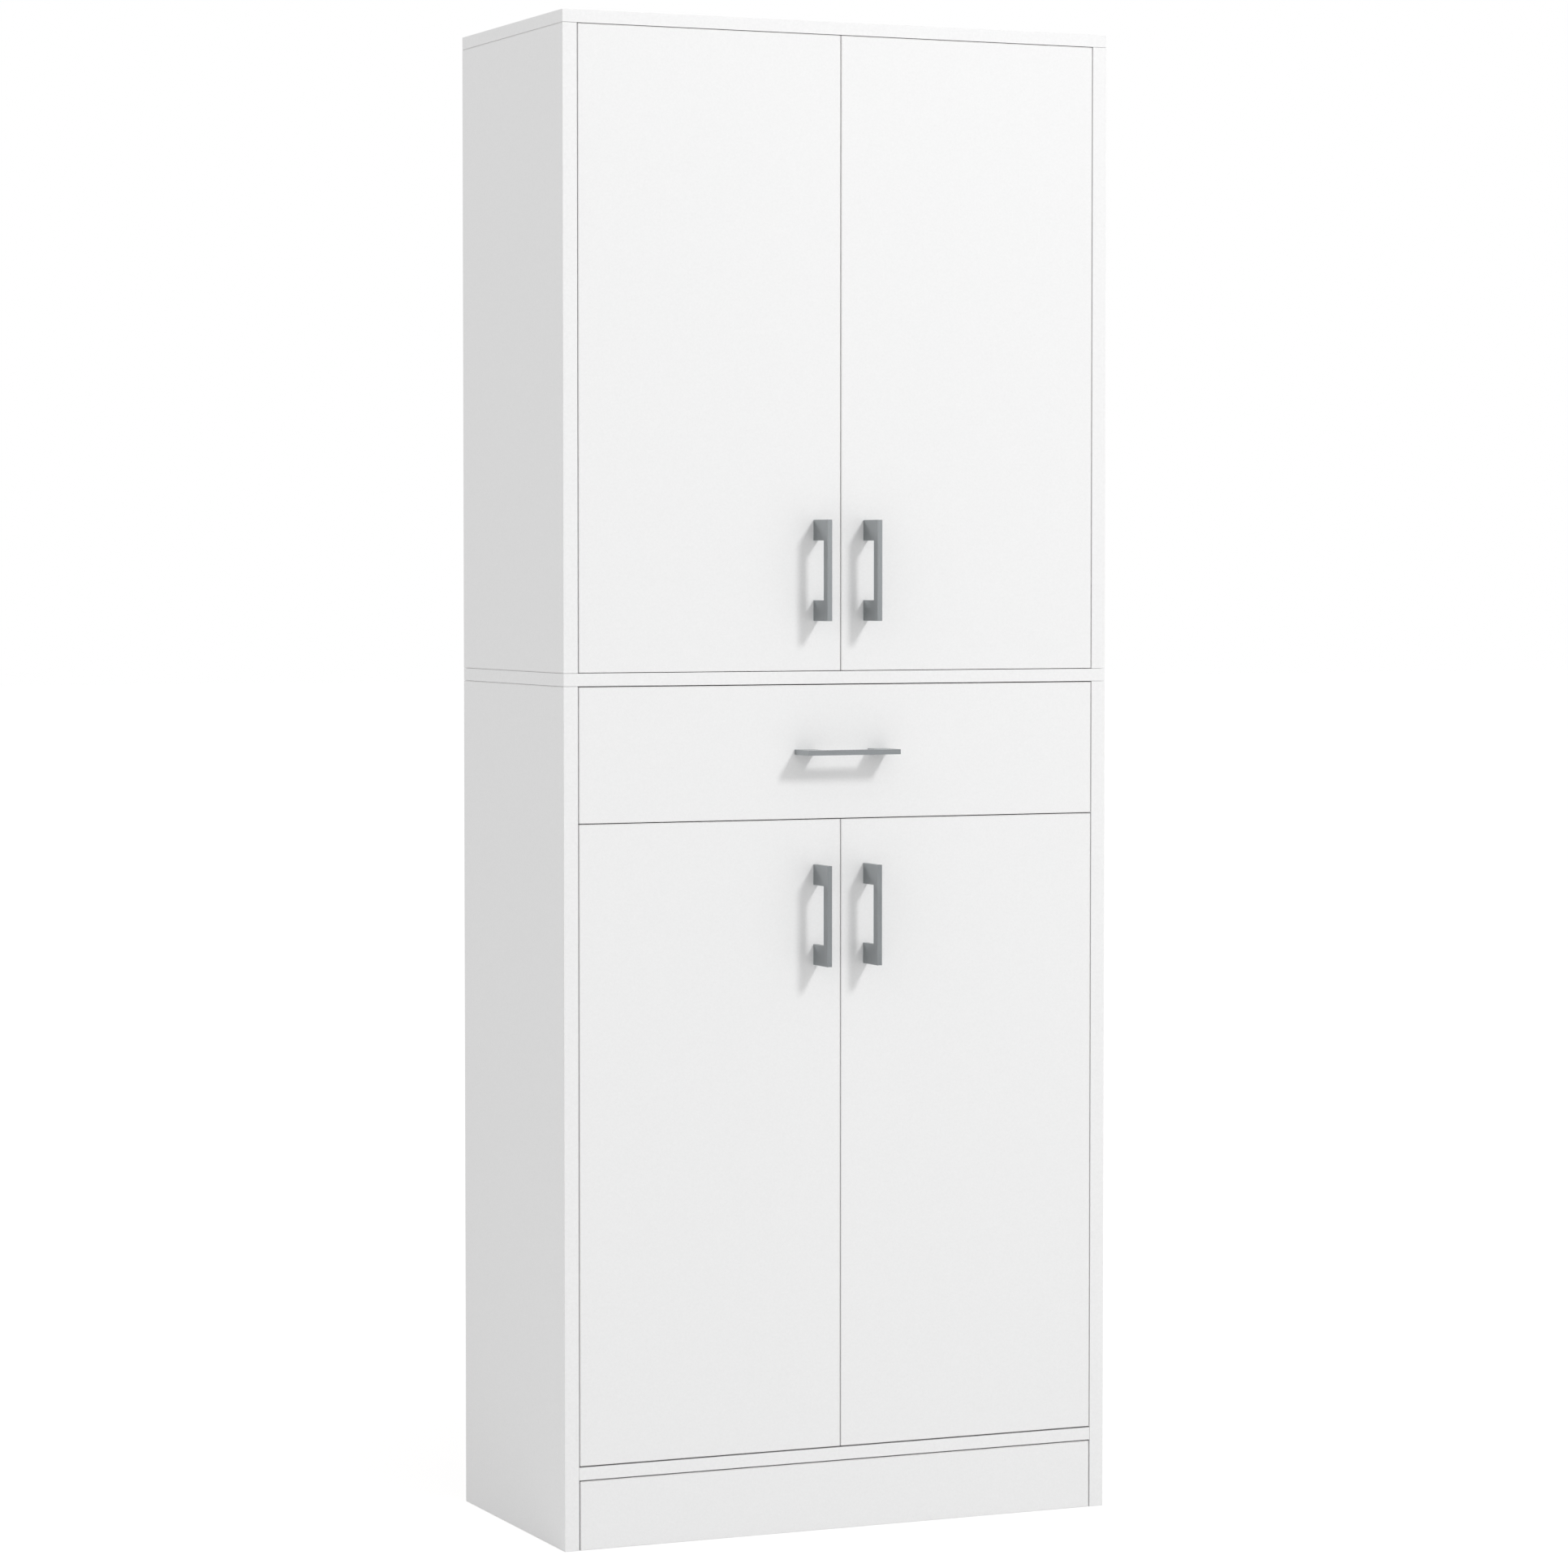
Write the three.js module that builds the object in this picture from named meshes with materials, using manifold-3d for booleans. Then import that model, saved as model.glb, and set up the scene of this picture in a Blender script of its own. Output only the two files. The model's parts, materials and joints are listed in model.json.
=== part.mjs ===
// Free-standing pantry cabinet: an upper cupboard and a lower cupboard with inset doors, and a drawer
// between them. Millimetres, +Z up, front towards -Y. The origin is on the floor, under the middle of
// the whole object, handles included.
import * as THREE from "three";
import { mergeVertices } from "three/addons/utils/BufferGeometryUtils.js";
import { ConvexGeometry } from "three/addons/geometries/ConvexGeometry.js";
import Module from "manifold-3d";

const wasm = await Module();
wasm.setup();

// ---- Driving dimensions --------------------------------------------------------------------------

const WIDTH = 708;
const DEPTH = 340; // carcass and inset doors, without the handles
const HEIGHT = 1800;
const BOARD = 15; // top, middle and bottom boards, shelves, plinth, doors and drawer front
const SIDE = 18; // side panels
const SEAM = 0.3; // between pieces that are fastened face to face

const PLINTH_HEIGHT = 83; // underside of the bottom board
const MIDDLE_UNDERSIDE = 1015;
const DRAWER_GAP_Z = 854; // middle of the gap between the drawer front and the lower doors
const FRONT_GAP = 1.2; // round the doors and the drawer front
const UPPER_DOOR_GAP = 0.8; // above and below the upper doors
const LOWER_DOOR_GAP = 1.8; // below the lower doors
const PLINTH_GAP = 1.5;
const DIVIDER_SETBACK = 2; // front edge of the board under the drawer, behind the doors

const HANDLE_LENGTH = 120;
const HANDLE_REACH = 41; // from the door's face to the front of the grip
const HANDLE_WIDTH = 6;
const HANDLE_LEG = 24.5; // leg length along the handle: screw centres are about 96 apart
const HANDLE_GRIP = 11; // grip thickness, front to back
const HANDLE_BEVEL = 1.2;
const HANDLE_INSET = 32; // handle centre from the door's closing edge
const UPPER_HANDLE_Z = 1150;
const LOWER_HANDLE_Z = 740;

const BACK_PANEL = 3;
const GROOVE = 3.6; // width of the grooves that hold the thin panels
const GROOVE_DEPTH = 5;
const GROOVE_INSET = 9; // from the rear edge to the back-panel groove

const SHELF_SETBACK = 8; // shelf edge behind the doors
const SHELF_GAP = 1.5; // at each end of a shelf
const SHELF_REAR_GAP = 2;
const UPPER_SHELF_HEIGHTS = { upper_shelf_low: 1275, upper_shelf_high: 1525 }; // undersides
const LOWER_SHELF_HEIGHT = 465;
const PIN_RADIUS = 2.5;
const PIN_DEPTH = 10;
const PIN_PITCH = 32;
const PIN_FRONT = 60; // pin-hole columns, from the carcass front
const PIN_REAR = 280;

const HINGE_FROM_END = 100; // hinge centre from the door's top or bottom edge
const HINGE_AXIS_IN = 8; // turning axis from the side panel's inner face, in the door's front plane
const CUP_CENTRE = 24.5; // cup centre from the side panel's inner face
const CUP_RADIUS = 17.3;
const CUP_WALL = 1.2;
const CUP_DEPTH = 11.6;
const CUP_BORE_RADIUS = 17.6;
const CUP_BORE_DEPTH = 12;
const CUP_RIM = 1.7; // rim beyond the cup's wall
const CUP_FLANGE = { from: -4, to: 16, half: 26 }; // from the cup's centre, and half its length
const ARM_HALF = 8; // half the width of the hinge's arm
const CHANNEL_HALF = 6.5;
const LINK_HALF = 6;

const RUNNER_FLOOR = 869.7; // surface that the drawer rollers run on
const RUNNER_SHEET = 1.2;
const RUNNER_LENGTH = 300;
const RUNNER_SPACE = 12.5; // between the side panel and the drawer side
const DRAWER_SIDE = 12; // thickness of drawer sides and back
const DRAWER_SIDE_HEIGHT = 110;

// ---- Derived places ------------------------------------------------------------------------------

const FRONT = (HANDLE_REACH - DEPTH) / 2; // front faces of doors and side panels
const BACK = FRONT + DEPTH;
const DOOR_BACK = FRONT + BOARD;
const HALF = WIDTH / 2;
const INSIDE = HALF - SIDE; // inner faces of the side panels
const BOTTOM_TOP = PLINTH_HEIGHT + BOARD;
const MIDDLE_TOP = MIDDLE_UNDERSIDE + BOARD;
const TOP_UNDERSIDE = HEIGHT - BOARD;
const LOWER_DOOR_TOP = DRAWER_GAP_Z - FRONT_GAP / 2;
const DRAWER_FRONT_BOTTOM = DRAWER_GAP_Z + FRONT_GAP / 2;
const DIVIDER_UNDERSIDE = DRAWER_GAP_Z - BOARD / 2;
const GROOVE_BACK = BACK - GROOVE_INSET;
const GROOVE_FRONT = GROOVE_BACK - GROOVE;
const PANEL_SLACK = (GROOVE - BACK_PANEL) / 2;
const PANEL_REACH = GROOVE_DEPTH - 0.5; // how far a thin panel goes into its groove

// ---- Shapes --------------------------------------------------------------------------------------

// A closed three.js geometry as a manifold-3d solid.
function solid(geometry) {
  const bare = geometry.clone();
  bare.deleteAttribute("normal");
  bare.deleteAttribute("uv");
  const merged = mergeVertices(bare, 1e-4);
  return new wasm.Manifold(
    new wasm.Mesh({
      numProp: 3,
      vertProperties: merged.attributes.position.array,
      triVerts: new Uint32Array(merged.index.array),
    }),
  );
}

// A manifold-3d solid as a flat-shaded three.js geometry.
function geometryOf(manifold) {
  const mesh = manifold.getMesh();
  const indexed = new THREE.BufferGeometry()
    .setAttribute("position", new THREE.BufferAttribute(mesh.vertProperties, 3))
    .setIndex(new THREE.BufferAttribute(mesh.triVerts, 1));
  const flat = indexed.toNonIndexed();
  flat.computeVertexNormals();
  return flat;
}

function block([x0, x1], [y0, y1], [z0, z1]) {
  const box = new THREE.BoxGeometry(x1 - x0, y1 - y0, z1 - z0);
  return solid(box.translate((x0 + x1) / 2, (y0 + y1) / 2, (z0 + z1) / 2));
}

// A cylinder along the X or Y axis, from one coordinate to another on that axis.
function rod(axis, [from, to], radius, [x, y, z], segments) {
  const cylinder = new THREE.CylinderGeometry(radius, radius, to - from, segments);
  if (axis === "x") cylinder.rotateZ(-Math.PI / 2).translate((from + to) / 2, y, z);
  else cylinder.translate(x, (from + to) / 2, z);
  return solid(cylinder);
}

// A plan outline, [x, y] points, extruded upwards from z0 to z1.
function slab(outline, [z0, z1]) {
  const shape = new THREE.Shape(outline.map(([x, y]) => new THREE.Vector2(x, y)));
  const extruded = new THREE.ExtrudeGeometry(shape, { depth: z1 - z0, bevelEnabled: false });
  return solid(extruded.translate(0, 0, z0));
}

// ---- Materials -----------------------------------------------------------------------------------

const finish = (color, roughness, metalness = 0) =>
  new THREE.MeshStandardMaterial({ color, roughness, metalness });

const MELAMINE = finish(0xf2f2f1, 0.45);
const HARDBOARD = finish(0xb08a60, 0.8);
const NICKEL = finish(0x8f9394, 0.35, 1);
const HINGE_STEEL = finish(0xb9bcbe, 0.3, 1);
const RUNNER_PAINT = finish(0xeeeeec, 0.4);
const ROLLER_NYLON = finish(0xdcdcd6, 0.5);

const cabinet = new THREE.Group();

function add(name, shape, material, parent = cabinet) {
  const mesh = new THREE.Mesh(geometryOf(shape), material);
  mesh.name = name;
  parent.add(mesh);
  return mesh;
}

// Adds a mirrored pair: build(group) makes the left one in a group, and the right one in its mirror.
function pair(build) {
  for (const [hand, mirror] of [["left", 1], ["right", -1]]) {
    const group = new THREE.Group();
    group.scale.x = mirror;
    cabinet.add(group);
    build(group, hand);
  }
}

// ---- Carcass -------------------------------------------------------------------------------------

const backGroove = (xs, zs) => block(xs, [GROOVE_FRONT, GROOVE_BACK], zs);
const grooveWidth = [-INSIDE - GROOVE_DEPTH, INSIDE + GROOVE_DEPTH];

function addBoards() {
  const across = [-HALF, HALF];
  const between = [-INSIDE + SEAM, INSIDE - SEAM];
  const toPanel = GROOVE_FRONT - SEAM;

  const top = block(across, [FRONT, BACK], [TOP_UNDERSIDE, HEIGHT]);
  const topGroove = backGroove(grooveWidth, [TOP_UNDERSIDE - 1, TOP_UNDERSIDE + GROOVE_DEPTH]);
  add("top_board", top.subtract(topGroove), MELAMINE);

  const middle = block(across, [FRONT, BACK], [MIDDLE_UNDERSIDE, MIDDLE_TOP]);
  const lowGroove = [MIDDLE_UNDERSIDE - 1, MIDDLE_UNDERSIDE + GROOVE_DEPTH];
  const highGroove = [MIDDLE_TOP - GROOVE_DEPTH, MIDDLE_TOP + 1];
  add(
    "middle_board",
    middle.subtract(backGroove(grooveWidth, lowGroove)).subtract(backGroove(grooveWidth, highGroove)),
    MELAMINE,
  );

  add("bottom_board", block(between, [FRONT, toPanel], [PLINTH_HEIGHT, BOTTOM_TOP]), MELAMINE);
  add(
    "drawer_divider",
    block(between, [DOOR_BACK + DIVIDER_SETBACK, toPanel], [DIVIDER_UNDERSIDE, DIVIDER_UNDERSIDE + BOARD]),
    MELAMINE,
  );
  add(
    "plinth_board",
    block([-INSIDE + PLINTH_GAP, INSIDE - PLINTH_GAP], [FRONT, DOOR_BACK], [0, PLINTH_HEIGHT - PLINTH_GAP]),
    MELAMINE,
  );
}

function addBackPanels() {
  const xs = [-INSIDE - PANEL_REACH, INSIDE + PANEL_REACH];
  const ys = [GROOVE_FRONT + PANEL_SLACK, GROOVE_BACK - PANEL_SLACK];
  add("lower_back_panel", block(xs, ys, [PLINTH_HEIGHT, MIDDLE_UNDERSIDE + PANEL_REACH]), HARDBOARD);
  add("upper_back_panel", block(xs, ys, [MIDDLE_TOP - PANEL_REACH, TOP_UNDERSIDE + PANEL_REACH]), HARDBOARD);
}

// A left side panel with its back-panel groove and a set of shelf-pin holes for each shelf height.
function sidePanel([z0, z1], shelfHeights, holesEachWay) {
  let panel = block([-HALF, -INSIDE], [FRONT, BACK], [z0, z1]);
  panel = panel.subtract(backGroove([-INSIDE - GROOVE_DEPTH, -INSIDE + 1], [z0 - 1, z1 + 1]));
  for (const height of shelfHeights) {
    for (let i = -holesEachWay; i <= holesEachWay; i++) {
      for (const y of [FRONT + PIN_FRONT, FRONT + PIN_REAR]) {
        const centre = [0, y, height - PIN_RADIUS + i * PIN_PITCH];
        panel = panel.subtract(rod("x", [-INSIDE - PIN_DEPTH, -INSIDE + 1], PIN_RADIUS, centre, 12));
      }
    }
  }
  return panel;
}

function addSides() {
  pair((group, hand) => {
    const lower = sidePanel([0, MIDDLE_UNDERSIDE - SEAM], [LOWER_SHELF_HEIGHT], 2);
    add(`lower_side_${hand}`, lower, MELAMINE, group);
    const upperSpan = [MIDDLE_TOP + SEAM, TOP_UNDERSIDE - SEAM];
    const upper = sidePanel(upperSpan, Object.values(UPPER_SHELF_HEIGHTS), 1);
    add(`upper_side_${hand}`, upper, MELAMINE, group);
  });
}

function addShelves() {
  const xs = [-INSIDE + SHELF_GAP, INSIDE - SHELF_GAP];
  const ys = [DOOR_BACK + SHELF_SETBACK, GROOVE_FRONT - SHELF_REAR_GAP];
  const heights = { ...UPPER_SHELF_HEIGHTS, lower_shelf: LOWER_SHELF_HEIGHT };
  for (const [name, z] of Object.entries(heights)) add(name, block(xs, ys, [z, z + BOARD]), MELAMINE);
}

// ---- Handles -------------------------------------------------------------------------------------

// A bow handle on a face at y = 0, standing along Z and centred on the origin: two flat legs and a
// grip, cut from one bar and bevelled round its front face.
function bowHandle() {
  const end = HANDLE_LENGTH / 2;
  const legEnd = end - HANDLE_LEG;
  const gripBack = HANDLE_REACH - HANDLE_GRIP;
  const half = HANDLE_WIDTH / 2;
  const bar = block([-half, half], [-HANDLE_REACH, -SEAM], [-end, end]);
  const fingerGap = block([-half - 1, half + 1], [-gripBack, 1], [-legEnd, legEnd]);
  const corners = [];
  for (const [y, inset] of [
    [1, 0],
    [-HANDLE_REACH + HANDLE_BEVEL, 0],
    [-HANDLE_REACH, HANDLE_BEVEL],
  ]) {
    for (const sx of [-1, 1]) {
      for (const sz of [-1, 1]) {
        corners.push(new THREE.Vector3(sx * (half - inset), y, sz * (end - inset)));
      }
    }
  }
  return bar.subtract(fingerGap).intersect(solid(new ConvexGeometry(corners)));
}

// ---- Doors and their hinges ----------------------------------------------------------------------
// Hinge pieces are made in a left door's hinge frame: x from the side panel's inner face, y from the
// door's front face towards the back, z from the hinge's centre.

function hingeCup() {
  const at = [CUP_CENTRE, 0, 0];
  const { from, to, half } = CUP_FLANGE;
  const seat = BOARD + SEAM;
  const mouth = seat + CUP_WALL;
  const base = BOARD - CUP_DEPTH;
  const rim = rod("y", [seat, mouth], CUP_RADIUS + CUP_RIM, at, 24);
  const flange = block([CUP_CENTRE + from, CUP_CENTRE + to], [seat, mouth], [-half, half]);
  const bowl = rod("y", [base, mouth], CUP_RADIUS, at, 24);
  const hollow = rod("y", [base + CUP_WALL, mouth + 1], CUP_RADIUS - CUP_WALL, at, 24);
  return bowl.add(rim).add(flange).subtract(hollow);
}

// Mounting plate and cranked arm: a channel, open towards the side panel, whose two cheeks dip into
// the cup. Every point near the cup stays over 17.8 from the turning axis, clear of the cup's rim.
function hingeArm() {
  const outline = [
    [24.5, 8], [33.6, 8], [34.3, 12], [34.3, 16], [30.5, 26], [20, 36], [15, 46], [15, 80],
    [2.5, 80], [2.5, 42], [7, 32], [11, 22], [14.5, 17.4], [20.8, 13.4],
  ];
  const channel = [
    [20, 0], [32.7, 0], [32.7, 15.7], [29.1, 25.3], [18.8, 35.1], [13.5, 45.7], [13.5, 81],
    [-1, 81], [-1, 30], [4, 20],
  ];
  const bar = slab(outline, [-ARM_HALF, ARM_HALF]);
  const cheeks = bar.subtract(slab(channel, [-CHANNEL_HALF, CHANNEL_HALF]));
  const plate = block([SEAM, 3], [36, 82], [-ARM_HALF, ARM_HALF]);
  const wings = block([SEAM, 2.4], [44, 60], [-25, 25]);
  return cheeks.add(plate).add(wings);
}

// Curved link, concentric with the turning axis, so that it slides out of the cup and along the arm.
function hingeLink() {
  const [inner, outer] = [22.5, 25.5]; // radii
  const [low, high] = [13, 104]; // degrees
  const steps = 10;
  const along = (radius, i) => {
    const angle = THREE.MathUtils.degToRad(low + ((high - low) * i) / steps);
    return [HINGE_AXIS_IN + radius * Math.cos(angle), radius * Math.sin(angle)];
  };
  const outline = [];
  for (let i = 0; i <= steps; i++) outline.push(along(outer, i));
  for (let i = steps; i >= 0; i--) outline.push(along(inner, i));
  return slab(outline, [-LINK_HALF, LINK_HALF]);
}

function addDoors(tier, [z0, z1], handleZ) {
  const hinges = { low: z0 + HINGE_FROM_END, high: z1 - HINGE_FROM_END };
  pair((group, hand) => {
    let door = block([-INSIDE + FRONT_GAP, -FRONT_GAP / 2], [FRONT, DOOR_BACK], [z0, z1]);
    for (const z of Object.values(hinges)) {
      const centre = [-INSIDE + CUP_CENTRE, 0, z];
      const bore = [DOOR_BACK - CUP_BORE_DEPTH, DOOR_BACK + 1];
      door = door.subtract(rod("y", bore, CUP_BORE_RADIUS, centre, 24));
    }
    add(`${tier}_door_${hand}`, door, MELAMINE, group);

    const handle = add(`${tier}_handle_${hand}`, bowHandle(), NICKEL, group);
    handle.position.set(-FRONT_GAP / 2 - HANDLE_INSET, FRONT, handleZ);

    for (const [end, z] of Object.entries(hinges)) {
      const pieces = { cup: hingeCup(), link: hingeLink(), arm: hingeArm() };
      for (const [piece, shape] of Object.entries(pieces)) {
        const mesh = add(`hinge_${piece}_${tier}_${hand}_${end}`, shape, HINGE_STEEL, group);
        mesh.position.set(-INSIDE, FRONT, z);
      }
    }
  });
}

// ---- Drawer and its runners ----------------------------------------------------------------------

const BOX_OUTSIDE = INSIDE - RUNNER_SPACE;
const BOX_INSIDE = BOX_OUTSIDE - DRAWER_SIDE;
const BOX_FRONT = DOOR_BACK + SEAM;
const BOX_BACK = BOX_FRONT + RUNNER_LENGTH;
const BOX_BOTTOM = RUNNER_FLOOR + 3.5; // on the drawer runners' angles
const BOX_TOP = BOX_BOTTOM + DRAWER_SIDE_HEIGHT;
const GROOVE_Z = BOX_BOTTOM + 8;
const BOTTOM_GROOVE = [GROOVE_Z, GROOVE_Z + GROOVE];

function addDrawer() {
  const frontSpan = [-INSIDE + FRONT_GAP, INSIDE - FRONT_GAP];
  const front = block(frontSpan, [FRONT, DOOR_BACK], [DRAWER_FRONT_BOTTOM, MIDDLE_UNDERSIDE - FRONT_GAP]);
  const grooveSpan = [-BOX_INSIDE - GROOVE_DEPTH, BOX_INSIDE + GROOVE_DEPTH];
  const frontGroove = block(grooveSpan, [DOOR_BACK - GROOVE_DEPTH, DOOR_BACK + 1], BOTTOM_GROOVE);
  add("drawer_front", front.subtract(frontGroove), MELAMINE);

  pair((group, hand) => {
    const side = block([-BOX_OUTSIDE, -BOX_INSIDE], [BOX_FRONT, BOX_BACK], [BOX_BOTTOM, BOX_TOP]);
    const grooveX = [-BOX_INSIDE - GROOVE_DEPTH, -BOX_INSIDE + 1];
    const groove = block(grooveX, [BOX_FRONT - 1, BOX_BACK + 1], BOTTOM_GROOVE);
    add(`drawer_side_${hand}`, side.subtract(groove), MELAMINE, group);
  });

  const backSpan = [-BOX_INSIDE + SEAM, BOX_INSIDE - SEAM];
  add(
    "drawer_back",
    block(backSpan, [BOX_BACK - DRAWER_SIDE, BOX_BACK], [BOTTOM_GROOVE[1], BOX_TOP]),
    MELAMINE,
  );
  add(
    "drawer_bottom",
    block(
      [-BOX_INSIDE - PANEL_REACH, BOX_INSIDE + PANEL_REACH],
      [DOOR_BACK - PANEL_REACH, BOX_BACK],
      [BOTTOM_GROOVE[0] + PANEL_SLACK, BOTTOM_GROOVE[1] - PANEL_SLACK],
    ),
    HARDBOARD,
  );

  const handle = add("drawer_handle", bowHandle(), NICKEL);
  handle.position.set(0, FRONT, (DRAWER_FRONT_BOTTOM + MIDDLE_UNDERSIDE - FRONT_GAP) / 2);
  handle.rotation.y = Math.PI / 2;
}

const CHANNEL_TOP = 19.2; // over the surface that the rollers run on
const CHANNEL_FLOOR_WIDTH = 8.2;
const CHANNEL_ROOF_WIDTH = 7;
const ANGLE_BOTTOM = 2;
const ANGLE_TOP = 15.8;
const ANGLE_SEAT = 12; // width under the drawer side
const ANGLE_FLANGE = 9.8; // width that runs on the cabinet's roller
const ROLLER_FROM_END = 10;
const AXLE_RADIUS = 2;
const AXLE_HEAD = 3.4;
const ROLLER_BORE = 2.4;
const ROLLER_HEIGHT = 7.3; // axle over the running surface
const ROLLER_RADIUS = 6.95;

function roller([x0, x1], y) {
  const centre = [0, y, RUNNER_FLOOR + ROLLER_HEIGHT];
  const wheel = rod("x", [x0, x1], ROLLER_RADIUS, centre, 24);
  return wheel.subtract(rod("x", [x0 - 1, x1 + 1], ROLLER_BORE, centre, 16));
}

// The cabinet's member is a channel on the side panel with a roller at its front. The drawer's
// member is an angle under the drawer side, with a flange that runs on that roller and a roller of
// its own at the rear, inside the channel.
function addRunners() {
  const sheet = RUNNER_SHEET;
  const floor = RUNNER_FLOOR;
  const axleZ = floor + ROLLER_HEIGHT;
  const outer = -INSIDE + SEAM; // against the side panel
  const web = outer + sheet;
  const roof = floor + CHANNEL_TOP;
  const cabinetFront = DOOR_BACK + 4;
  const cabinetSpan = [cabinetFront, cabinetFront + RUNNER_LENGTH];
  const drawerSpan = [BOX_FRONT + 0.2, BOX_BACK];
  const cabinetRollerY = cabinetFront + ROLLER_FROM_END;
  const drawerRollerY = BOX_BACK - ROLLER_FROM_END;
  const angleBottom = floor + ANGLE_BOTTOM;
  const angleTop = floor + ANGLE_TOP;
  const member = -BOX_OUTSIDE - SEAM; // inner face of the drawer member's web

  pair((group, hand) => {
    const axle = (xs, y) => rod("x", xs, AXLE_RADIUS, [0, y, axleZ], 12);
    const head = (xs, y) => rod("x", xs, AXLE_HEAD, [0, y, axleZ], 12);

    const channel = block([outer, web], cabinetSpan, [floor - sheet, roof])
      .add(block([outer, outer + CHANNEL_FLOOR_WIDTH], cabinetSpan, [floor - sheet, floor]))
      .add(block([outer, outer + CHANNEL_ROOF_WIDTH], cabinetSpan, [roof - sheet, roof]))
      .add(axle([outer, outer + 8], cabinetRollerY))
      .add(head([outer + 7.6, outer + 8.4], cabinetRollerY));
    add(`cabinet_runner_${hand}`, channel, RUNNER_PAINT, group);
    add(`cabinet_roller_${hand}`, roller([web + 0.5, outer + 7.2], cabinetRollerY), ROLLER_NYLON, group);

    const angle = block([member - sheet, member], drawerSpan, [angleBottom, angleTop])
      .add(block([member - sheet, member + ANGLE_SEAT], drawerSpan, [angleBottom, angleBottom + sheet]))
      .add(block([member - ANGLE_FLANGE, member], drawerSpan, [angleTop - sheet, angleTop]))
      .add(axle([member - ANGLE_FLANGE, member], drawerRollerY))
      .add(head([member - 10.3, member - 9.5], drawerRollerY));
    add(`drawer_runner_${hand}`, angle, RUNNER_PAINT, group);
    add(`drawer_roller_${hand}`, roller([member - 9.2, member - 3.6], drawerRollerY), ROLLER_NYLON, group);
  });
}

// ---- Assembly ------------------------------------------------------------------------------------

addBoards();
addBackPanels();
addSides();
addShelves();
addDoors("upper", [MIDDLE_TOP + UPPER_DOOR_GAP, TOP_UNDERSIDE - UPPER_DOOR_GAP], UPPER_HANDLE_Z);
addDoors("lower", [BOTTOM_TOP + LOWER_DOOR_GAP, LOWER_DOOR_TOP], LOWER_HANDLE_Z);
addDrawer();
addRunners();

export default cabinet;
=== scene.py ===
"""The looks of a white pantry cabinet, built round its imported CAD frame.

Metres, +Z up, front towards -Y.
"""

import json
import math

import bmesh
import bpy
from mathutils import Matrix, Vector


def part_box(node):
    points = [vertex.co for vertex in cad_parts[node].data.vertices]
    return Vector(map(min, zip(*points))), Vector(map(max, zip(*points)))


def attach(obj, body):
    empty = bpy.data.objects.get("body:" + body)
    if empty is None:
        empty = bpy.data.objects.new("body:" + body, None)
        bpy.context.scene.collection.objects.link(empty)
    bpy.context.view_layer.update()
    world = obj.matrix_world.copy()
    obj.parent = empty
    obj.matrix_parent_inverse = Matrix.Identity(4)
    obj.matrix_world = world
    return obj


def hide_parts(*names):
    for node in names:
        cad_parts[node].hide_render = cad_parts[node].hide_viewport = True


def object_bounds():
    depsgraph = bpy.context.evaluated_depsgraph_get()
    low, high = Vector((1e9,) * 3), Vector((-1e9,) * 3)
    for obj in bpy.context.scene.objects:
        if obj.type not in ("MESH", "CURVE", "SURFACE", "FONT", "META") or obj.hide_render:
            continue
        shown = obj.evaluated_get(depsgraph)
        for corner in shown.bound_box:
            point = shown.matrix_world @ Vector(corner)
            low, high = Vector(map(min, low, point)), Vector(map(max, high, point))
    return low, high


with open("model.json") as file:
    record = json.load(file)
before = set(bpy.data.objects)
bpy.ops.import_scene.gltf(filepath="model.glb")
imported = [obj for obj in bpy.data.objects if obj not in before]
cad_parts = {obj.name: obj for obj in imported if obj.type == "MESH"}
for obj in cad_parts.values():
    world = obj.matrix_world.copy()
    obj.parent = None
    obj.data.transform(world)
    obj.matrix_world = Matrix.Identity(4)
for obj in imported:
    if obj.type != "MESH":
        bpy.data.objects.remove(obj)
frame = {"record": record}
cad_low, cad_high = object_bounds()

MM = 0.001
HANDS = {"left": 1, "right": -1}  # the right half is the left half with X reversed
TIERS = ("upper", "lower")
ENDS = ("low", "high")
X, Y, Z = Vector((1, 0, 0)), Vector((0, 1, 0)), Vector((0, 0, 1))

BAND = 0.8 * MM  # edge banding's thickness
BAND_ROUNDING = 0.45 * BAND
CORE_ROUNDING = 0.12 * MM  # leaves the hairline between a board's face and its banding
SMOOTH_ANGLE = math.radians(40)
CREASE_ANGLE = math.radians(25)  # a plate's edges that turn more than this are rounded
SEAM = 0.3 * MM  # between pieces that are fastened face to face
CUTTER_REACH = 30 * MM  # further than any face that a cup's cutter has to pass


def mm(*points):
    """Points given in millimetres, in metres."""
    return [(first * MM, second * MM) for first, second in points]


# ---- Places taken from the frame -----------------------------------------------------------------

def low(node):
    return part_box(node)[0]


def high(node):
    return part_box(node)[1]


def middle(node):
    return (low(node) + high(node)) / 2


def outer_face(node, side):
    """Where a node of the left half (side 1) or right half (side -1) ends, away from the middle."""
    return low(node).x if side == 1 else high(node).x


def inner_face(node, side):
    return outer_face(node, -side)


def body_of_node(node):
    bodies = frame["record"]["behaviour"]["bodies"]
    return next(body for body, nodes in bodies.items() if node in nodes)


front_y = low("upper_door_left").y
door_back_y = high("upper_door_left").y
inner_x = high("upper_side_left").x  # inner face of the left side panel, negative


# ---- Materials -----------------------------------------------------------------------------------

def srgb(red, green, blue):
    """A linear colour from the 0 to 255 values that a screen shows."""
    def linear(value):
        value /= 255
        return value / 12.92 if value <= 0.04045 else ((value + 0.055) / 1.055) ** 2.4
    return (linear(red), linear(green), linear(blue), 1)


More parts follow.
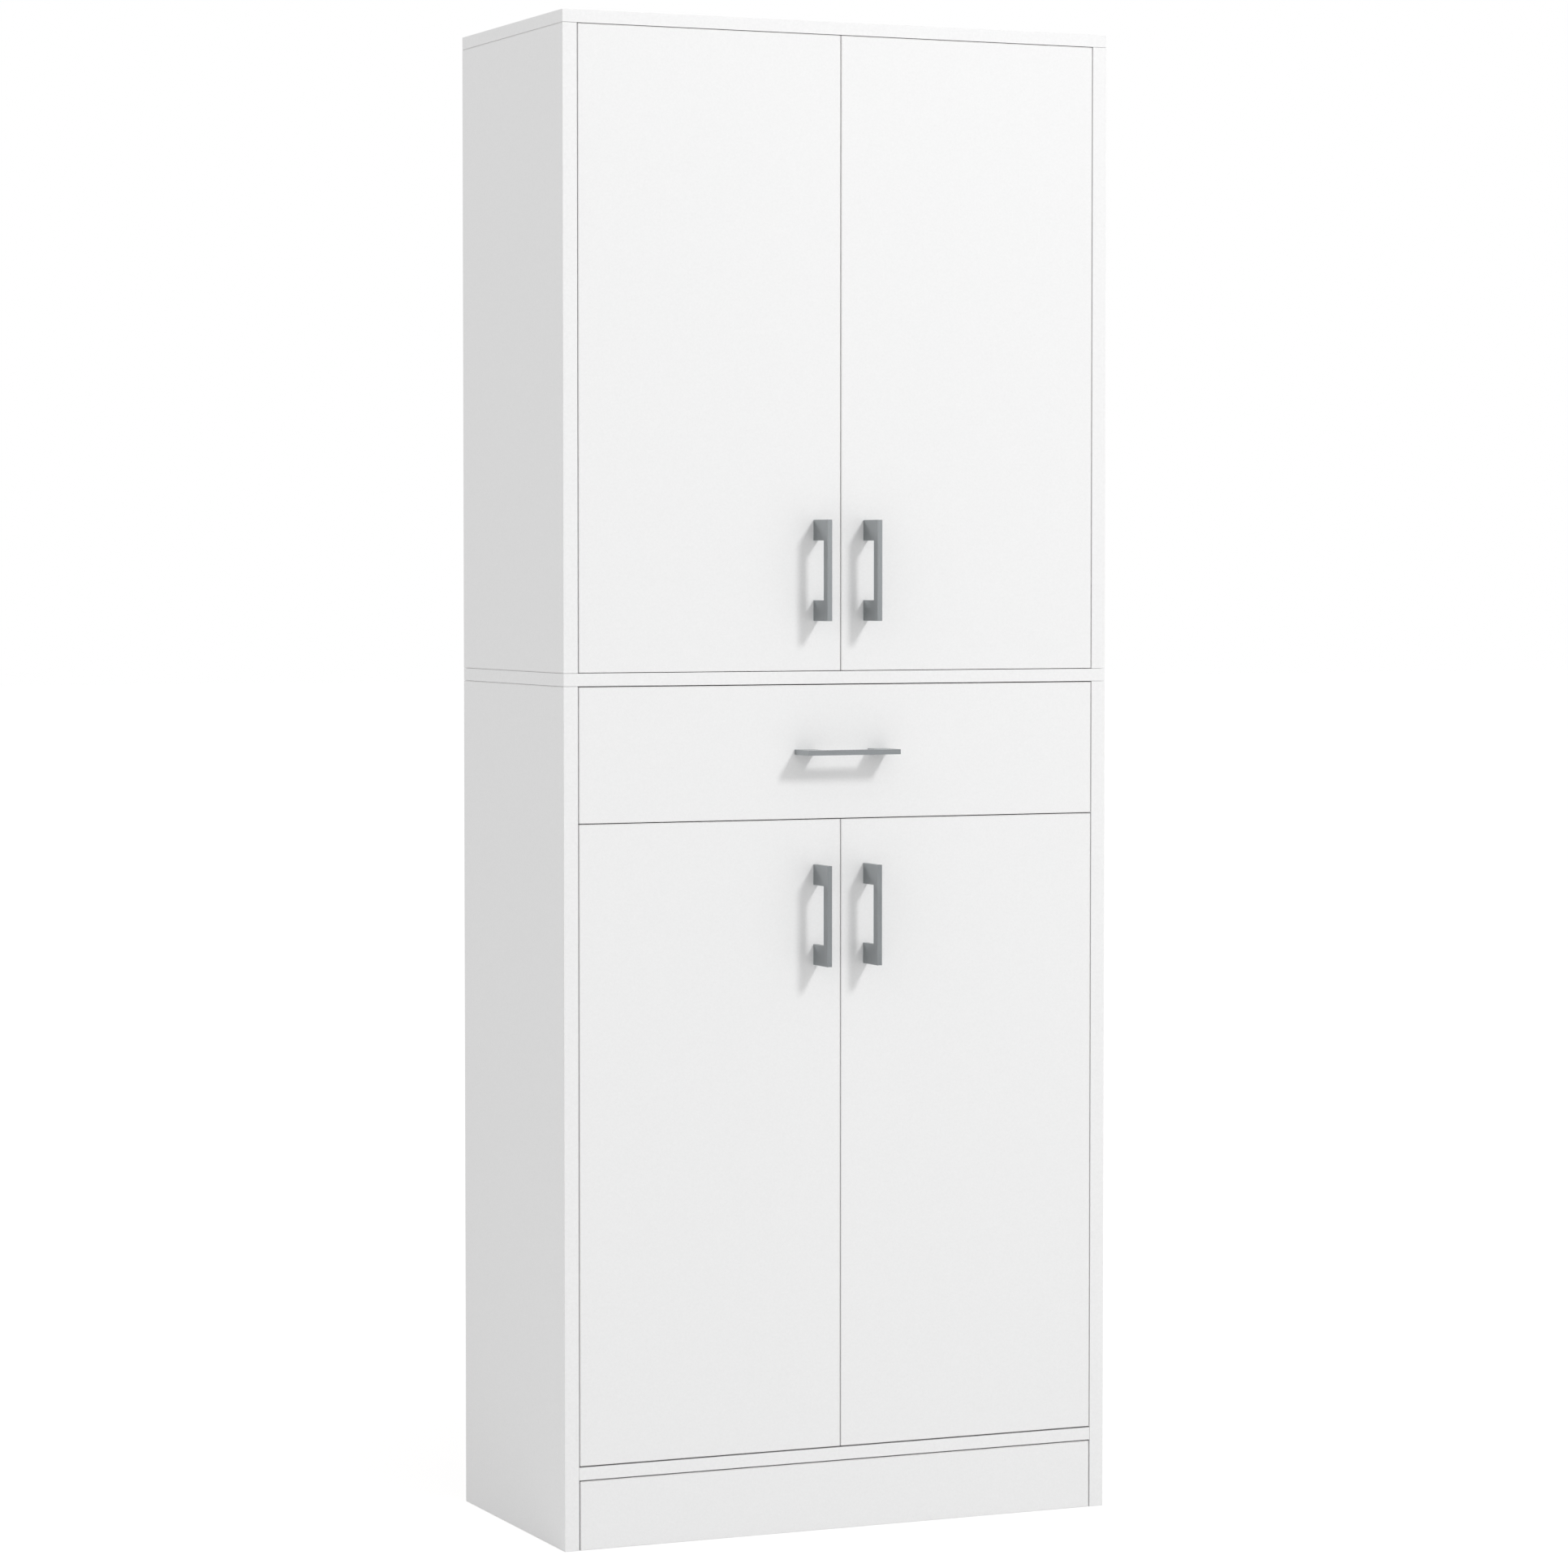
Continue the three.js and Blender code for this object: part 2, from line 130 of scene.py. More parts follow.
class Material:
    """A principled material and short names for the nodes that shape it."""

    def __init__(self, name, **sockets):
        self.material = bpy.data.materials.new(name)
        self.material.use_nodes = True
        self.tree = self.material.node_tree
        self.shader = self.tree.nodes["Principled BSDF"]
        for socket, value in sockets.items():
            self.shader.inputs[socket.replace("_", " ")].default_value = value

    def link(self, source, target):
        self.tree.links.new(source, target)

    def place(self, stretch=(1, 1, 1)):
        """Object coordinates, which are metres, times stretch."""
        coordinates = self.tree.nodes.new("ShaderNodeTexCoord")
        mapping = self.tree.nodes.new("ShaderNodeMapping")
        mapping.inputs["Scale"].default_value = stretch
        self.link(coordinates.outputs["Object"], mapping.inputs["Vector"])
        return mapping.outputs["Vector"]

    def noise(self, scale, stretch=(1, 1, 1), detail=3, roughness=0.5):
        node = self.tree.nodes.new("ShaderNodeTexNoise")
        node.inputs["Scale"].default_value = scale
        node.inputs["Detail"].default_value = detail
        node.inputs["Roughness"].default_value = roughness
        self.link(self.place(stretch), node.inputs["Vector"])
        return node.outputs["Fac"]

    def cells(self, scale, stretch=(1, 1, 1), output="Color"):
        node = self.tree.nodes.new("ShaderNodeTexVoronoi")
        node.inputs["Scale"].default_value = scale
        self.link(self.place(stretch), node.inputs["Vector"])
        return node.outputs[output]

    def ramp(self, factor, *stops):
        """Colours, or grey levels, at positions along a factor."""
        node = self.tree.nodes.new("ShaderNodeValToRGB")
        elements = node.color_ramp.elements
        while len(elements) < len(stops):
            elements.new(0.5)
        for element, (position, colour) in zip(elements, stops):
            element.position = position
            element.color = colour if isinstance(colour, tuple) else (colour, colour, colour, 1)
        self.link(factor, node.inputs["Fac"])
        return node.outputs["Color"]

    def mix(self, factor, first, second, blend="MIX"):
        node = self.tree.nodes.new("ShaderNodeMix")
        node.data_type = "RGBA"
        node.blend_type = blend
        # sockets by number, because the node has a set of the same names for each data type
        for index, value in ((0, factor), (6, first), (7, second)):
            if isinstance(value, bpy.types.NodeSocket):
                self.link(value, node.inputs[index])
            else:
                node.inputs[index].default_value = value
        return node.outputs[2]

    def bump(self, *layers):
        """Layers are (height, depth in metres); each lies on the one before."""
        normal = None
        for height, depth in layers:
            node = self.tree.nodes.new("ShaderNodeBump")
            node.inputs["Distance"].default_value = depth
            self.link(height, node.inputs["Height"])
            if normal:
                self.link(normal, node.inputs["Normal"])
            normal = node.outputs["Normal"]
        self.link(normal, self.shader.inputs["Normal"])

    def colour(self, source):
        self.link(source, self.shader.inputs["Base Color"])

    def roughness(self, factor, smoothest, roughest):
        self.link(self.ramp(factor, (0.3, smoothest), (0.7, roughest)), self.shader.inputs["Roughness"])


def melamine():
    """White decor paper under resin: a fine pearl grain, uneven gloss and a long, slight waviness."""
    m = Material("white_melamine", Specular_IOR_Level=0.45)
    grain = m.noise(420, detail=4, roughness=0.7)
    m.colour(m.ramp(grain, (0.3, srgb(242, 242, 242)), (0.7, srgb(247, 247, 247))))
    m.roughness(m.noise(60, detail=5), 0.36, 0.46)
    m.bump((m.noise(4, detail=1), 0.2 * MM), (m.noise(900, detail=2), 0.02 * MM))
    return m.material


def edge_banding():
    """Thin plastic strip, a little smoother than the boards, with a fine grain."""
    m = Material("white_edge_banding", Specular_IOR_Level=0.5)
    grain = m.noise(300)
    m.colour(m.ramp(grain, (0.3, srgb(243, 243, 243)), (0.7, srgb(247, 247, 247))))
    m.roughness(m.noise(300), 0.3, 0.4)
    m.bump((m.noise(500, detail=2), 0.015 * MM))
    return m.material


def chipboard():
    """Raw particleboard: flat chips of several tans, darker resin between them, and open pores."""
    m = Material("raw_chipboard", Specular_IOR_Level=0.2)
    chips = m.cells(420, (0.5, 0.5, 1.5))
    shade = m.ramp(chips, (0.0, srgb(150, 116, 76)), (0.35, srgb(190, 155, 108)),
                   (0.7, srgb(212, 183, 140)), (1.0, srgb(226, 203, 165)))
    pores = m.ramp(m.noise(1400, detail=4), (0.36, 0.35), (0.46, 1.0))
    m.colour(m.mix(0.8, shade, pores, "MULTIPLY"))
    m.roughness(chips, 0.75, 0.92)
    m.bump((m.cells(420, (0.5, 0.5, 1.5), "Distance"), 0.25 * MM), (m.noise(1400, detail=4), 0.15 * MM))
    return m.material


def hardboard():
    """Brown hardboard: fine pressed fibres, short dark flecks and a very faint mottle."""
    m = Material("brown_hardboard", Specular_IOR_Level=0.3)
    patches = m.noise(30, detail=8, roughness=0.75)
    mottle = m.ramp(patches, (0.25, srgb(146, 110, 74)), (0.75, srgb(158, 121, 83)))
    fibres = m.ramp(m.noise(420, (1, 1, 4), detail=5, roughness=0.75), (0.35, 0.74), (0.65, 1.0))
    flecks = m.ramp(m.noise(900, (1, 1, 0.4), roughness=0.8), (0.3, 0.6), (0.4, 1.0))
    m.colour(m.mix(0.6, m.mix(0.6, mottle, fibres, "MULTIPLY"), flecks, "MULTIPLY"))
    m.roughness(m.noise(90, detail=4), 0.55, 0.75)
    m.bump((m.noise(420, (1, 1, 4), detail=5), 0.1 * MM))
    return m.material


def white_lacquer():
    """The painted inner face of hardboard, with its fibres just showing through."""
    m = Material("white_lacquered_hardboard", Specular_IOR_Level=0.4)
    m.colour(m.ramp(m.noise(20, detail=5), (0.3, srgb(238, 238, 236)), (0.7, srgb(243, 243, 241))))
    m.roughness(m.noise(120, detail=4), 0.45, 0.6)
    m.bump((m.noise(300, (1, 1, 5), detail=4), 0.05 * MM))
    return m.material


def satin_nickel(along):
    """Satin nickel plate with brushing lines along one axis, and handling marks in its gloss."""
    stretch = tuple(0.02 if axis == along else 1 for axis in "xyz")
    m = Material("satin_nickel_along_" + along, Metallic=1.0)
    lines = m.noise(2600, stretch, detail=4, roughness=0.7)
    m.colour(m.ramp(lines, (0.3, srgb(149, 153, 155)), (0.7, srgb(159, 163, 165))))
    marks = m.noise(45, detail=5, roughness=0.6)
    m.roughness(m.mix(0.5, lines, marks), 0.18, 0.28)
    m.bump((lines, 0.008 * MM))
    return m.material


def plated_steel(name, colour, smoothest, roughest):
    """Pressed and plated steel: a soft orange peel from pressing and uneven gloss."""
    m = Material(name, Metallic=1.0)
    patches = m.noise(160, detail=5)
    darker = tuple(0.92 * channel for channel in colour[:3]) + (1,)
    m.colour(m.ramp(patches, (0.35, darker), (0.6, colour)))
    m.roughness(m.noise(260, detail=5), smoothest, roughest)
    m.bump((m.noise(900, detail=2), 0.008 * MM))
    return m.material


def powder_coat():
    """White epoxy powder coat with its fine orange peel."""
    m = Material("white_powder_coat", Specular_IOR_Level=0.5)
    m.colour(m.ramp(m.noise(40, detail=4), (0.3, srgb(236, 236, 234)), (0.7, srgb(243, 243, 241))))
    m.roughness(m.noise(150, detail=4), 0.3, 0.42)
    m.bump((m.noise(450, detail=2), 0.06 * MM))
    return m.material


def moulded_plastic(name, colour, smoothest, roughest):
    """Moulded plastic with a fine spark-eroded grain."""
    m = Material(name, Specular_IOR_Level=0.45)
    darker = tuple(0.94 * channel for channel in colour[:3]) + (1,)
    m.colour(m.ramp(m.noise(180), (0.3, darker), (0.7, colour)))
    m.roughness(m.noise(400), smoothest, roughest)
    m.bump((m.noise(2200, detail=2), 0.03 * MM))
    return m.material


MELAMINE = melamine()
BANDING = edge_banding()
CHIPBOARD = chipboard()
HARDBOARD = hardboard()
LACQUER = white_lacquer()
NICKEL = {axis: satin_nickel(axis) for axis in "xz"}
HINGE_STEEL = plated_steel("nickel_plated_steel", srgb(214, 215, 216), 0.17, 0.27)
SCREW_STEEL = plated_steel("zinc_plated_steel", srgb(196, 199, 203), 0.28, 0.42)
POWDER_COAT = powder_coat()
NYLON = moulded_plastic("natural_nylon", srgb(226, 225, 216), 0.42, 0.55)
CAP_PLASTIC = moulded_plastic("white_cap_plastic", srgb(240, 240, 238), 0.35, 0.48)
BUMPER_PLASTIC = moulded_plastic("grey_bumper_plastic", srgb(205, 207, 208), 0.3, 0.4)


# ---- Mesh tools ----------------------------------------------------------------------------------

def piece(name, bm, materials, body):
    """Turns a bmesh into a piece of the object that rides on a CAD body."""
    bmesh.ops.recalc_face_normals(bm, faces=bm.faces)
    mesh = bpy.data.meshes.new(name)
    bm.to_mesh(mesh)
    bm.free()
    for material in materials:
        mesh.materials.append(material)
    made = bpy.data.objects.new(name, mesh)
    bpy.context.scene.collection.objects.link(made)
    smooth(made)
    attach(made, body)
    return made


def smooth(made):
    """Smooth shading over rounded edges, flat over flat faces."""
    made.data.polygons.foreach_set("use_smooth", [True] * len(made.data.polygons))
    made.data.set_sharp_from_angle(angle=SMOOTH_ANGLE)
    weighted = made.modifiers.new("weighted_normals", "WEIGHTED_NORMAL")
    weighted.keep_sharp = True


def add_box(bm, corner, opposite, rounding, segments=3):
    """A box with rounded edges."""
    size = opposite - corner
    centre = (opposite + corner) / 2
    verts = bmesh.ops.create_cube(bm, size=1)["verts"]
    bmesh.ops.transform(bm, matrix=Matrix.LocRotScale(centre, None, size), verts=verts)
    edges = list({edge for vert in verts for edge in vert.link_edges})
    bmesh.ops.bevel(bm, geom=edges, offset=rounding, segments=segments, profile=0.5, affect="EDGES")


def add_circles(bm, profile, origin, axis, segments):
    """A circle of vertices for each (radius, distance along the axis); radius 0 gives a single one."""
    turn = Z.rotation_difference(axis).to_matrix()
    angles = [2 * math.pi * i / segments for i in range(segments)]
    rings = []
    for radius, along in profile:
        spots = [(radius * math.cos(a), radius * math.sin(a)) for a in angles] if radius else [(0, 0)]
        rings.append([bm.verts.new(origin + turn @ Vector((u, v, along))) for u, v in spots])
    return rings


def add_turned(bm, profile, origin, axis, segments):
    """A solid of revolution, closed by end caps."""
    rings = add_circles(bm, profile, origin, axis, segments)
    for one, other in zip(rings, rings[1:]):
        for i in range(segments):
            quad = [one[i % len(one)], one[(i + 1) % len(one)],
                    other[(i + 1) % len(other)], other[i % len(other)]]
            corners = list(dict.fromkeys(quad))  # a pole gives the same vertex twice
            if len(corners) > 2:
                bm.faces.new(corners)
    for ring in (rings[0], rings[-1]):
        if len(ring) > 1:
            bm.faces.new(ring)


def add_ring(bm, profile, origin, axis, segments):
    """A turned ring with a bore: the profile's last point joins its first."""
    rings = add_circles(bm, profile, origin, axis, segments)
    for one, other in zip(rings, rings[1:] + rings[:1]):
        for i in range(segments):
            bm.faces.new([one[i], one[(i + 1) % segments], other[(i + 1) % segments], other[i]])


def space(u, v, w, origin):
    """The matrix that takes a plan's three coordinates along u, v and w from an origin."""
    to_space = Matrix((u, v, w)).transposed().to_4x4()
    to_space.translation = origin
    return to_space


def add_plate(bm, outline, thickness, to_space, rounding=0.0, segments=2):
    """A flat outline, thickened half to each side of its plane and taken to its place by a matrix."""
    lower = [bm.verts.new(to_space @ Vector((u, v, -thickness / 2))) for u, v in outline]
    upper = [bm.verts.new(to_space @ Vector((u, v, thickness / 2))) for u, v in outline]
    count = len(outline)
    bm.faces.new(lower)
    bm.faces.new(upper)
    for i in range(count):
        bm.faces.new([lower[i], lower[(i + 1) % count], upper[(i + 1) % count], upper[i]])
    if rounding:
        edges = list({
            edge for vert in lower + upper for edge in vert.link_edges
            if edge.calc_face_angle() > CREASE_ANGLE
        })
        bmesh.ops.bevel(bm, geom=edges, offset=rounding, segments=segments, profile=0.5, affect="EDGES")


def turned_piece(name, profile, at, axis, segments, material, body):
    bm = bmesh.new()
    add_turned(bm, profile, at, axis, segments)
    return piece(name, bm, [material], body)


def plate_piece(name, outline, thickness, to_space, material, body, slot, **edges):
    """A plate as a piece of its own; edges are add_plate's rounding and segments."""
    bm = bmesh.new()
    add_plate(bm, outline, thickness, to_space, **edges)
    return piece(name, bm, [material], body)


def cut(made, add_cutters, material):
    """Cuts shapes out of a piece; the cut faces show the given material."""
    bm = bmesh.new()
    add_cutters(bm)
    bmesh.ops.recalc_face_normals(bm, faces=bm.faces)
    mesh = bpy.data.meshes.new("cutter")
    bm.to_mesh(mesh)
    bm.free()
    mesh.materials.append(material)
    cutter = bpy.data.objects.new("cutter", mesh)
    bpy.context.scene.collection.objects.link(cutter)
    made.modifiers.clear()
    boolean = made.modifiers.new("cut", "BOOLEAN")
    boolean.operation = "DIFFERENCE"
    boolean.solver = "EXACT"
    boolean.material_mode = "TRANSFER"
    boolean.object = cutter
    graph = bpy.context.evaluated_depsgraph_get()
    result = bpy.data.meshes.new_from_object(made.evaluated_get(graph))
    made.modifiers.clear()
    made.data = result
    bpy.data.objects.remove(cutter)
    smooth(made)


# ---- Boards --------------------------------------------------------------------------------------

SIDE_NAMES = {"-x": "left", "+x": "right", "-y": "front", "+y": "rear", "-z": "lower", "+z": "upper"}


def board(node, body, banded):
    """A melamine-faced board for a CAD node, with plastic banding on named sides, such as "-y +x"."""
    corner, opposite = low(node), high(node)
    thickness_axis = min(range(3), key=lambda axis: opposite[axis] - corner[axis])
    core_low, core_high = corner.copy(), opposite.copy()
    strips = []
    for side in banded.split():
        axis = "xyz".index(side[1])
        strip_low, strip_high = core_low.copy(), core_high.copy()
        if side[0] == "-":
            strip_high[axis] = corner[axis] + BAND
            core_low[axis] += BAND
        else:
            strip_low[axis] = opposite[axis] - BAND
            core_high[axis] -= BAND
        strips.append((side, strip_low, strip_high))

    bm = bmesh.new()
    add_box(bm, core_low, core_high, CORE_ROUNDING, segments=2)
    core = piece(node + "_core", bm, [MELAMINE, CHIPBOARD], body)
    for face in core.data.polygons:
        flat = max(range(3), key=lambda axis: abs(face.normal[axis]))
        if flat != thickness_axis and abs(face.normal[flat]) > 0.99:
            face.material_index = 1
    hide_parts(node)

    for side, strip_low, strip_high in strips:
        bm = bmesh.new()
        add_box(bm, strip_low, strip_high, BAND_ROUNDING)
        piece(f"{node}_{SIDE_NAMES[side]}_edge_band", bm, [BANDING], body)
    return core


# ---- Fasteners -----------------------------------------------------------------------------------

def screw(name, at, out, body, head, height):
    """A pan head with a cross recess, standing on a surface; head is its radius."""
    rim = 0.25  # share of the height where the dome starts
    profile = [(0, -0.3 * MM), (head, -0.3 * MM), (head, rim * height)]
    for i in range(1, 6):
        angle = math.radians(15 * i)
        profile.append((head * math.cos(angle) ** 0.6, height * (rim + (1 - rim) * math.sin(angle))))
    profile.append((0, height))
    made = turned_piece(name, profile, at, out, 28, SCREW_STEEL, body)

    def recess(cutter):
        across = out.orthogonal().normalized()
        to_space = space(across, out.cross(across), out, at + out * height)
        tip, waist = 0.56 * head, 0.11 * head
        outline = []
        for _ in range(4):
            outline += [(tip, -waist), (tip, waist), (waist, waist)]
            outline = [(v, -u) for u, v in outline]  # a quarter turn, for the next arm of the cross
        add_plate(cutter, outline, 0.9 * height, to_space)

    cut(made, recess, SCREW_STEEL)


def cam_cap(name, at, out, body):
    """The thin round cap that covers a cam fitting in a board."""
    radius = 8.6 * MM
    profile = [(0, -0.2 * MM), (radius, -0.2 * MM), (radius, 0.35 * MM), (radius - 0.5 * MM, 0.8 * MM),
               (radius - 2.4 * MM, 0.95 * MM), (radius - 2.8 * MM, 0.75 * MM), (0, 0.8 * MM)]
    turned_piece(name, profile, at, out, 40, CAP_PLASTIC, body)


# ---- Carcass -------------------------------------------------------------------------------------

GROOVE = 3.6 * MM  # width of the grooves for the thin panels
GROOVE_DEPTH = 5 * MM
PIN_RADIUS = 2.5 * MM
PIN_PITCH = 32 * MM
HOLE_DEPTH = 10 * MM
HOLE_CHAMFER = 0.3 * MM
PIN_COLUMNS = (front_y + 60 * MM, front_y + 280 * MM)
CAM_FROM_JOINT = 24 * MM
CAM_COLUMNS = (front_y + 50 * MM, front_y + 290 * MM)
NAILS = 7  # in each row
NAIL_PITCH = 98 * MM

panel_y = middle("upper_back_panel").y
groove_y = (panel_y - GROOVE / 2, panel_y + GROOVE / 2)


def add_groove(bm, xs, zs):
    corners = [Vector((x, y, z)) for x, y, z in zip(xs, groove_y, zs)]
    add_box(bm, corners[0], corners[1], 0.05 * MM, segments=1)


def side_panel(tier, hand, shelves, holes_each_way):
    """A side panel with its back-panel groove and its rows of shelf-pin holes."""
    node = f"{tier}_side_{hand}"
    side = HANDS[hand]
    face_x = side * inner_x
    core = board(node, "cabinet", "-y -z +z")
    wide = PIN_RADIUS + HOLE_CHAMFER
    hole = [(0, 0), (PIN_RADIUS, 1.2 * MM), (PIN_RADIUS, HOLE_DEPTH - HOLE_CHAMFER),
            (wide, HOLE_DEPTH), (wide, HOLE_DEPTH + MM)]

    def cutters(bm):
        add_groove(bm, sorted((face_x - side * GROOVE_DEPTH, face_x + side * MM)),
                   (low(node).z - MM, high(node).z + MM))
        for shelf in shelves:
            for step in range(-holes_each_way, holes_each_way + 1):
                for y in PIN_COLUMNS:
                    z = low(shelf).z - PIN_RADIUS + step * PIN_PITCH
                    bottom = Vector((face_x - side * HOLE_DEPTH, y, z))
                    add_turned(bm, hole, bottom, side * X, 24)

    cut(core, cutters, CHIPBOARD)


def crossing_board(node, faces):
    """A full-width board with a back-panel groove in its lower face, its upper face or both."""
    core = board(node, "cabinet", "-y -x +x")
    reach = -inner_x + GROOVE_DEPTH

    def cutters(bm):
        if "lower" in faces:
            add_groove(bm, (-reach, reach), (low(node).z - MM, low(node).z + GROOVE_DEPTH))
        if "upper" in faces:
            add_groove(bm, (-reach, reach), (high(node).z - GROOVE_DEPTH, high(node).z + MM))

    cut(core, cutters, CHIPBOARD)


def thin_panel(node, body, lacquered):
    """A hardboard panel, brown except for its lacquered side, which is the -y or the +z one."""
    bm = bmesh.new()
    add_box(bm, low(node), high(node), 0.25 * MM, segments=2)
    panel = piece(node + "_sheet", bm, [HARDBOARD, LACQUER], body)
    axis = "xyz".index(lacquered[1])
    sign = -1 if lacquered[0] == "-" else 1
    for face in panel.data.polygons:
        if face.normal[axis] * sign > 0.99:
            face.material_index = 1
    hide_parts(node)


def build_carcass():
    crossing_board("top_board", ("lower",))
    crossing_board("middle_board", ("lower", "upper"))
    for node in ("bottom_board", "drawer_divider", "upper_shelf_low", "upper_shelf_high", "lower_shelf"):
        board(node, "cabinet", "-y")
    board("plinth_board", "cabinet", "-x +x -z +z")
    for hand in HANDS:
        side_panel("upper", hand, ("upper_shelf_low", "upper_shelf_high"), 1)
        side_panel("lower", hand, ("lower_shelf",), 2)
    for tier in TIERS:
        thin_panel(f"{tier}_back_panel", "cabinet", "-y")
    build_nails()
    build_cams()
    build_shelf_pins()


def build_nails():
    """Round-headed nails that hold the lower back panel to the boards it crosses."""
    outside_y = high("lower_back_panel").y
    profile = mm((0, -0.4), (1.9, -0.4), (1.9, 0.15), (1.3, 0.55), (0, 0.7))
    for crossed in ("bottom_board", "drawer_divider"):
        z = middle(crossed).z
        for number in range(NAILS):
            at = Vector(((number - (NAILS - 1) // 2) * NAIL_PITCH, outside_y, z))
            turned_piece(f"{crossed}_nail_{number}", profile, at, Y, 18, SCREW_STEEL,
                         "cabinet")


def build_cams():
    """Caps over the cam fittings, beside the full-width boards and under the inner ones."""
    for hand, side in HANDS.items():
        face_x = side * inner_x
        heights = {
            "upper_side_top": low("top_board").z - CAM_FROM_JOINT,
            "upper_side_foot": high("middle_board").z + CAM_FROM_JOINT,
            "lower_side_top": low("middle_board").z - CAM_FROM_JOINT,
        }
        for row, y in zip(("front", "rear"), CAM_COLUMNS):
            for place, z in heights.items():
                cam_cap(f"cam_cap_{place}_{hand}_{row}", Vector((face_x, y, z)), side * X, "cabinet")
            for node in ("bottom_board", "drawer_divider"):
                at = Vector((face_x + side * CAM_FROM_JOINT, y, low(node).z))
                cam_cap(f"cam_cap_{node}_{hand}_{row}", at, -Z, "cabinet")
        at = Vector((face_x + side * CAM_FROM_JOINT, high("plinth_board").y, middle("plinth_board").z))
        cam_cap(f"cam_cap_plinth_{hand}", at, Y, "cabinet")


def build_shelf_pins():
    """Steel pins with a collar, four under each shelf."""
    pin, collar = PIN_RADIUS - 0.06 * MM, PIN_RADIUS + 1.2 * MM
    profile = [(0, -9 * MM), (pin - 0.5 * MM, -9 * MM), (pin, -8.4 * MM), (pin, 0), (collar, 0),
               (collar, 0.7 * MM), (collar - 0.3 * MM, MM), (pin, 1.1 * MM), (pin, 7.4 * MM),
               (pin - 0.6 * MM, 8 * MM), (0, 8 * MM)]
    for shelf in ("upper_shelf_low", "upper_shelf_high", "lower_shelf"):
        for hand, side in HANDS.items():
            for row, y in zip(("front", "rear"), PIN_COLUMNS):
                at = Vector((side * inner_x, y, low(shelf).z - PIN_RADIUS))
                bm = bmesh.new()
                add_turned(bm, profile, at, side * X, 24)
                # the collar's upper part is cut flat, so that the shelf rests on the pin
                for vert in bm.verts:
                    vert.co.z = min(vert.co.z, low(shelf).z - 0.02 * MM)
                piece(f"{shelf}_pin_{hand}_{row}", bm, [SCREW_STEEL], "cabinet")


# ---- Doors, hinges and handles -------------------------------------------------------------------

CUP_RADIUS = 17.3 * MM
CUP_WALL = 1.2 * MM
CUP_RIM = 19 * MM
EAR_RADIUS = 6 * MM
EAR_REACH = 19.8 * MM
CUP_SCREW_BACK = 6.5 * MM  # the screws stand this much further from the door's hinge edge than the cup
CUP_SCREW_REACH = 20.5 * MM
HANDLE_LEG = 24.5 * MM
HANDLE_GRIP = 11 * MM
DOOR_BUMPER = 24 * MM  # from the cabinet's middle


def hinge_space(hand, z):
    """From a hinge's own plan: u into the cupboard from the side panel, v back from the front plane."""
    side = HANDS[hand]
    return space(side * X, Y, Z, Vector((side * inner_x, front_y, z)))


def build_door(tier, hand):
    node = f"{tier}_door_{hand}"
    core = board(node, node, "-x +x -z +z")
    cups = [f"hinge_cup_{tier}_{hand}_{end}" for end in ENDS]

    hole = CUP_RADIUS + 0.2 * MM

    def cutters(bm):
        for cup in cups:
            at = Vector((middle(cup).x, low(cup).y - 0.4 * MM, middle(cup).z))
            add_turned(bm, [(0, 0), (hole, 0), (hole, CUTTER_REACH)], at, Y, 64)

    cut(core, cutters, CHIPBOARD)
    for end in ENDS:
        build_cup(tier, hand, end, node)
        build_link(tier, hand, end)
        build_arm(tier, hand, end)


def build_cup(tier, hand, end, body):
    """The pressed cup in the door, its flange and its two screws."""
    node = f"hinge_cup_{tier}_{hand}_{end}"
    at = Vector((middle(node).x, low(node).y, middle(node).z))
    depth = high(node).y - low(node).y
    inside = CUP_RADIUS - CUP_WALL
    profile = [(0, 0), (15.4 * MM, 0), (16.8 * MM, 0.5 * MM), (CUP_RADIUS, 1.8 * MM),
               (CUP_RADIUS, depth - CUP_WALL), (CUP_RIM, depth - CUP_WALL), (CUP_RIM, depth - 0.4 * MM),
               (CUP_RIM - 0.4 * MM, depth), (inside + 0.5 * MM, depth), (inside, depth - 0.5 * MM),
               (inside, 2.6 * MM), (inside - 0.5 * MM, 1.6 * MM), (inside - 1.6 * MM, CUP_WALL),
               (0, CUP_WALL)]
    cup = turned_piece(node + "_bowl", profile, at, Y, 64, HINGE_STEEL, body)
    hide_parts(node)

    side = HANDS[hand]
    to_space = space(side * X, Z, Y, at + Y * (depth - CUP_WALL / 2))
    outline = stadium(CUP_SCREW_BACK, EAR_REACH, EAR_RADIUS)
    flange = plate_piece(node + "_flange", outline, CUP_WALL - 0.1 * MM, to_space, HINGE_STEEL,
                         body, "hinge_steel", rounding=0.25 * MM)

    def mouth(cutter):
        hole = CUP_RIM - MM
        add_turned(cutter, [(0, -CUTTER_REACH), (hole, -CUTTER_REACH), (hole, CUTTER_REACH)], at, Y, 64)

    cut(flange, mouth, HINGE_STEEL)
    for sign, place in ((-1, "lower"), (1, "upper")):
        screw_at = at + Vector((side * CUP_SCREW_BACK, depth - 0.05 * MM, sign * CUP_SCREW_REACH))
        screw(f"{node}_screw_{place}", screw_at, Y, body, head=3.3 * MM, height=1.5 * MM)


LINK_AXIS = 8 * MM  # from the side panel; the link turns about this line in the front plane
LINK_INNER = 22.6 * MM
LINK_OUTER = 25.4 * MM
LINK_START = 13.3  # degrees round the axis
LINK_END = 103.6
LINK_STEPS = 24
LINK_WIDTH = 11.6 * MM


